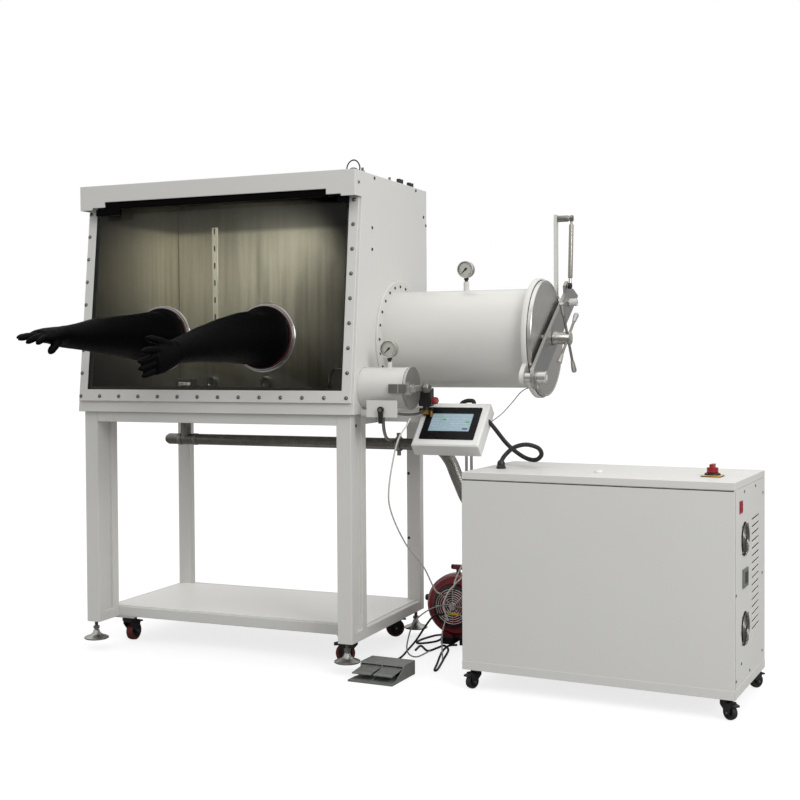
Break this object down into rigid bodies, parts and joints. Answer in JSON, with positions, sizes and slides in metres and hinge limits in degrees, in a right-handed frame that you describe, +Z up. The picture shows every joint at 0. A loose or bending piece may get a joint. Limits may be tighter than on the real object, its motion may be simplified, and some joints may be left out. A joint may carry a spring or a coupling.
{
  "type": "laboratory glove box",
  "caption": "Steel glove box on a wheeled stand with sloping window, glove ports, round transfer chambers, touch screen, control cabinet, vacuum pump and foot pedal.",
  "frame": {"origin": "centre of the footprint, on the floor under the casters", "axes": "+X along the window towards the transfer chambers, +Y from the window to the rear, +Z up"},
  "size_m": [2.64, 1.5108, 1.869],
  "materials": {
    "powder_coat": "fine-textured warm white powder coat",
    "stainless": "brushed stainless steel",
    "polished": "bright polished steel",
    "glazing": "grey-tinted clear laminated glazing",
    "rubber": "black butyl rubber, slight sheen",
    "dark_plastic": "black moulded plastic",
    "red_tyre": "dark red polyurethane tread",
    "red_paint": "dark red enamel on castings",
    "red_plastic": "glossy red plastic",
    "hose_metal": "corrugated or drawn steel",
    "cast_grey": "grey-green textured paint on castings"
  },
  "bodies": {
    "base": {"box_shell": "powder_coat", "cabinet_body": "powder_coat", "cabinet_lid": "powder_coat", "circulation_pipe": "stainless", "large_chamber": "powder_coat", "large_gauge": "polished", "lower_shelf": "powder_coat", "pedal_base": "cast_grey", "port_ring_left": "polished", "port_ring_right": "polished", "return_hose": "hose_metal", "screen_housing": "powder_coat", "small_chamber": "powder_coat", "small_gauge": "polished", "stand_frame": "powder_coat", "vacuum_pump": "red_paint", "valve_bracket": "powder_coat", "window_frame": "powder_coat", "window_pane": "glazing"},
    "cabinet_caster_front_left_fork": {"cabinet_caster_front_left_fork": "dark_plastic"},
    "cabinet_caster_front_left_wheel": {"cabinet_caster_front_left_wheel": "dark_plastic"},
    "cabinet_caster_front_right_fork": {"cabinet_caster_front_right_fork": "dark_plastic"},
    "cabinet_caster_front_right_wheel": {"cabinet_caster_front_right_wheel": "dark_plastic"},
    "cabinet_caster_rear_left_fork": {"cabinet_caster_rear_left_fork": "dark_plastic"},
    "cabinet_caster_rear_left_wheel": {"cabinet_caster_rear_left_wheel": "dark_plastic"},
    "cabinet_caster_rear_right_fork": {"cabinet_caster_rear_right_fork": "dark_plastic"},
    "cabinet_caster_rear_right_wheel": {"cabinet_caster_rear_right_wheel": "dark_plastic"},
    "door_beam": {"door_beam": "stainless"},
    "door_handwheel": {"door_handwheel": "polished"},
    "fan_lower": {"fan_lower": "dark_plastic"},
    "fan_upper": {"fan_upper": "dark_plastic"},
    "foot_front_left": {"foot_front_left": "polished"},
    "foot_front_right": {"foot_front_right": "polished"},
    "foot_rear_left": {"foot_rear_left": "polished"},
    "foot_rear_right": {"foot_rear_right": "polished"},
    "gas_spring_rod": {"gas_spring_rod": "polished"},
    "gas_spring_tube": {"gas_spring_tube": "hose_metal"},
    "glove_left": {"glove_left": "rubber"},
    "glove_right": {"glove_right": "rubber"},
    "large_door": {"large_door": "stainless"},
    "large_gauge_needle": {"large_gauge_needle": "dark_plastic"},
    "large_inner_door": {"large_inner_door": "stainless"},
    "pedal_left": {"pedal_left": "cast_grey"},
    "pedal_right": {"pedal_right": "cast_grey"},
    "power_switch": {"power_switch": "red_plastic"},
    "rocker_switch": {"rocker_switch": "red_plastic"},
    "sliding_tray": {"sliding_tray": "stainless"},
    "small_door": {"small_door": "stainless"},
    "small_door_knob": {"small_door_knob": "polished"},
    "small_gauge_needle": {"small_gauge_needle": "dark_plastic"},
    "small_inner_door": {"small_inner_door": "stainless"},
    "stand_caster_front_left_fork": {"stand_caster_front_left_fork": "dark_plastic"},
    "stand_caster_front_left_wheel": {"stand_caster_front_left_wheel": "red_tyre"},
    "stand_caster_front_right_fork": {"stand_caster_front_right_fork": "dark_plastic"},
    "stand_caster_front_right_wheel": {"stand_caster_front_right_wheel": "red_tyre"},
    "stand_caster_rear_left_fork": {"stand_caster_rear_left_fork": "dark_plastic"},
    "stand_caster_rear_left_wheel": {"stand_caster_rear_left_wheel": "red_tyre"},
    "stand_caster_rear_right_fork": {"stand_caster_rear_right_fork": "dark_plastic"},
    "stand_caster_rear_right_wheel": {"stand_caster_rear_right_wheel": "red_tyre"},
    "valve_lever": {"valve_lever": "dark_plastic"}
  },
  "joints": [
    {"name": "foot_front_left_screw", "type": "slide", "parent": "base", "child": "foot_front_left", "axis": [0, 0, 1], "range_m": [-0.04, 0]},
    {"name": "foot_front_right_screw", "type": "slide", "parent": "base", "child": "foot_front_right", "axis": [0, 0, 1], "range_m": [-0.04, 0]},
    {"name": "foot_rear_left_screw", "type": "slide", "parent": "base", "child": "foot_rear_left", "axis": [0, 0, 1], "range_m": [-0.03, 0]},
    {"name": "foot_rear_right_screw", "type": "slide", "parent": "base", "child": "foot_rear_right", "axis": [0, 0, 1], "range_m": [-0.03, 0]},
    {"name": "stand_caster_front_left_swivel", "type": "hinge", "parent": "base", "child": "stand_caster_front_left_fork", "pos_m": [-1.21999, 0.14255, 0.09], "axis": [0, 0, 1], "continuous": true},
    {"name": "stand_caster_front_left_roll", "type": "hinge", "parent": "stand_caster_front_left_fork", "child": "stand_caster_front_left_wheel", "pos_m": [-1.21999, 0.17067, 0.0375], "axis": [1, 0, 0], "continuous": true},
    {"name": "stand_caster_front_right_swivel", "type": "hinge", "parent": "base", "child": "stand_caster_front_right_fork", "pos_m": [-0.19799, 0.14255, 0.09], "axis": [0, 0, 1], "continuous": true},
    {"name": "stand_caster_front_right_roll", "type": "hinge", "parent": "stand_caster_front_right_fork", "child": "stand_caster_front_right_wheel", "pos_m": [-0.22283, 0.12934, 0.0375], "axis": [-0.4695, 0.8829, 0], "continuous": true},
    {"name": "stand_caster_rear_left_swivel", "type": "hinge", "parent": "base", "child": "stand_caster_rear_left_fork", "pos_m": [-1.17699, 0.59555, 0.09], "axis": [0, 0, 1], "continuous": true},
    {"name": "stand_caster_rear_left_roll", "type": "hinge", "parent": "stand_caster_rear_left_fork", "child": "stand_caster_rear_left_wheel", "pos_m": [-1.16737, 0.56912, 0.0375], "axis": [-0.9397, -0.342, 0], "continuous": true},
    {"name": "stand_caster_rear_right_swivel", "type": "hinge", "parent": "base", "child": "stand_caster_rear_right_fork", "pos_m": [-0.24099, 0.59555, 0.09], "axis": [0, 0, 1], "continuous": true},
    {"name": "stand_caster_rear_right_roll", "type": "hinge", "parent": "stand_caster_rear_right_fork", "child": "stand_caster_rear_right_wheel", "pos_m": [-0.21883, 0.61286, 0.0375], "axis": [0.6157, -0.788, 0], "continuous": true},
    {"name": "cabinet_caster_front_left_swivel", "type": "hinge", "parent": "base", "child": "cabinet_caster_front_left_fork", "pos_m": [0.36573, -0.03139, 0.06], "axis": [0, 0, 1], "continuous": true},
    {"name": "cabinet_caster_front_left_roll", "type": "hinge", "parent": "cabinet_caster_front_left_fork", "child": "cabinet_caster_front_left_wheel", "pos_m": [0.35653, -0.04773, 0.025], "axis": [-0.8714, 0.4906, 0], "continuous": true},
    {"name": "cabinet_caster_front_right_swivel", "type": "hinge", "parent": "base", "child": "cabinet_caster_front_right_fork", "pos_m": [1.24415, -0.09872, 0.06], "axis": [0, 0, 1], "continuous": true},
    {"name": "cabinet_caster_front_right_roll", "type": "hinge", "parent": "cabinet_caster_front_right_fork", "child": "cabinet_caster_front_right_wheel", "pos_m": [1.25962, -0.10931, 0.025], "axis": [-0.5647, -0.8253, 0], "continuous": true},
    {"name": "cabinet_caster_rear_left_swivel", "type": "hinge", "parent": "base", "child": "cabinet_caster_rear_left_fork", "pos_m": [0.39729, 0.3804, 0.06], "axis": [0, 0, 1], "continuous": true},
    {"name": "cabinet_caster_rear_left_roll", "type": "hinge", "parent": "cabinet_caster_rear_left_fork", "child": "cabinet_caster_rear_left_wheel", "pos_m": [0.39224, 0.39846, 0.025], "axis": [0.9631, 0.2692, 0], "continuous": true},
    {"name": "cabinet_caster_rear_right_swivel", "type": "hinge", "parent": "base", "child": "cabinet_caster_rear_right_fork", "pos_m": [1.27571, 0.31307, 0.06], "axis": [0, 0, 1], "continuous": true},
    {"name": "cabinet_caster_rear_right_roll", "type": "hinge", "parent": "cabinet_caster_rear_right_fork", "child": "cabinet_caster_rear_right_wheel", "pos_m": [1.28835, 0.32692, 0.025], "axis": [0.7387, -0.6741, 0], "continuous": true},
    {"name": "glove_left_sway", "type": "hinge", "parent": "base", "child": "glove_left", "pos_m": [-0.93499, -0.04627, 1.2531], "axis": [1, 0, 0], "range_deg": [-10, 10]},
    {"name": "glove_right_sway", "type": "hinge", "parent": "base", "child": "glove_right", "pos_m": [-0.47699, -0.04627, 1.2531], "axis": [1, 0, 0], "range_deg": [-10, 10]},
    {"name": "door_beam_swing", "type": "hinge", "parent": "base", "child": "door_beam", "pos_m": [0.52401, 0.60773, 1.38696], "axis": [-1, 0, 0], "range_deg": [0, 75]},
    {"name": "handwheel_turn", "type": "hinge", "parent": "door_beam", "child": "door_handwheel", "pos_m": [0.59301, 0.38255, 1.2435], "axis": [1, 0, 0], "range_deg": [0, 720]},
    {"name": "large_door_press", "type": "slide", "parent": "door_beam", "child": "large_door", "axis": [1, 0, 0], "range_m": [0, 0.006]},
    {"name": "gas_spring_swing", "type": "hinge", "parent": "base", "child": "gas_spring_tube", "pos_m": [0.54701, 0.61255, 1.718], "axis": [1, 0, 0], "range_deg": [0, 15.4]},
    {"name": "gas_spring_stroke", "type": "slide", "parent": "gas_spring_tube", "child": "gas_spring_rod", "axis": [0, -0.0932, -0.9956], "range_m": [0, 0.0316]},
    {"name": "large_inner_door_swing", "type": "hinge", "parent": "base", "child": "large_inner_door", "pos_m": [-0.15799, 0.59455, 1.2435], "axis": [0, 0, -1], "range_deg": [0, 95]},
    {"name": "sliding_tray_slide", "type": "slide", "parent": "base", "child": "sliding_tray", "axis": [1, 0, 0], "range_m": [-0.07, 0.07]},
    {"name": "large_gauge_read", "type": "hinge", "parent": "base", "child": "large_gauge_needle", "pos_m": [0.18801, 0.36955, 1.5133], "axis": [0, 1, 0], "range_deg": [0, 270]},
    {"name": "small_gauge_read", "type": "hinge", "parent": "base", "child": "small_gauge_needle", "pos_m": [0.00001, 0.04555, 1.2053], "axis": [0, 1, 0], "range_deg": [0, 270]},
    {"name": "small_door_swing", "type": "hinge", "parent": "base", "child": "small_door", "pos_m": [0.11301, -0.03845, 1.061], "axis": [0, 0, -1], "range_deg": [0, 110]},
    {"name": "small_door_knob_turn", "type": "hinge", "parent": "small_door", "child": "small_door_knob", "pos_m": [0.13601, 0.05855, 1.061], "axis": [1, 0, 0], "range_deg": [0, 360]},
    {"name": "small_inner_door_swing", "type": "hinge", "parent": "base", "child": "small_inner_door", "pos_m": [-0.21399, 0.14855, 1.061], "axis": [0, 0, -1], "range_deg": [0, 100]},
    {"name": "valve_lever_turn", "type": "hinge", "parent": "base", "child": "valve_lever", "pos_m": [0.00701, -0.04445, 0.984], "axis": [0, -1, 0], "range_deg": [0, 90]},
    {"name": "power_switch_turn", "type": "hinge", "parent": "base", "child": "power_switch", "pos_m": [1.17938, 0.05067, 0.77], "axis": [0, 0, 1], "range_deg": [0, 90]},
    {"name": "rocker_switch_tip", "type": "hinge", "parent": "base", "child": "rocker_switch", "pos_m": [1.2798, -0.05231, 0.683], "axis": [0.0764, 0.9971, 0], "range_deg": [0, 14]},
    {"name": "fan_lower_spin", "type": "hinge", "parent": "base", "child": "fan_lower", "pos_m": [1.26414, 0.01809, 0.273], "axis": [0.9971, -0.0764, 0], "continuous": true},
    {"name": "fan_upper_spin", "type": "hinge", "parent": "base", "child": "fan_upper", "pos_m": [1.26414, 0.01809, 0.57], "axis": [0.9971, -0.0764, 0], "continuous": true},
    {"name": "pedal_left_press", "type": "hinge", "parent": "base", "child": "pedal_left", "pos_m": [-0.04288, -0.00702, 0.039], "axis": [0.9986, -0.0523, 0], "range_deg": [0, 8], "stiffness_Nm_per_rad": 2, "springref_deg": -20.05},
    {"name": "pedal_right_press", "type": "hinge", "parent": "base", "child": "pedal_right", "pos_m": [0.043, -0.01152, 0.039], "axis": [0.9986, -0.0523, 0], "range_deg": [0, 8], "stiffness_Nm_per_rad": 2, "springref_deg": -20.05}
  ],
  "couplings": [
    {"joint": "large_door_press", "follows": "handwheel_turn", "m_per_rad": 0.00047746},
    {"joint": "gas_spring_swing", "follows": "door_beam_swing", "ratio": 0.2036},
    {"joint": "gas_spring_stroke", "follows": "door_beam_swing", "m_per_rad": 0.024}
  ]
}
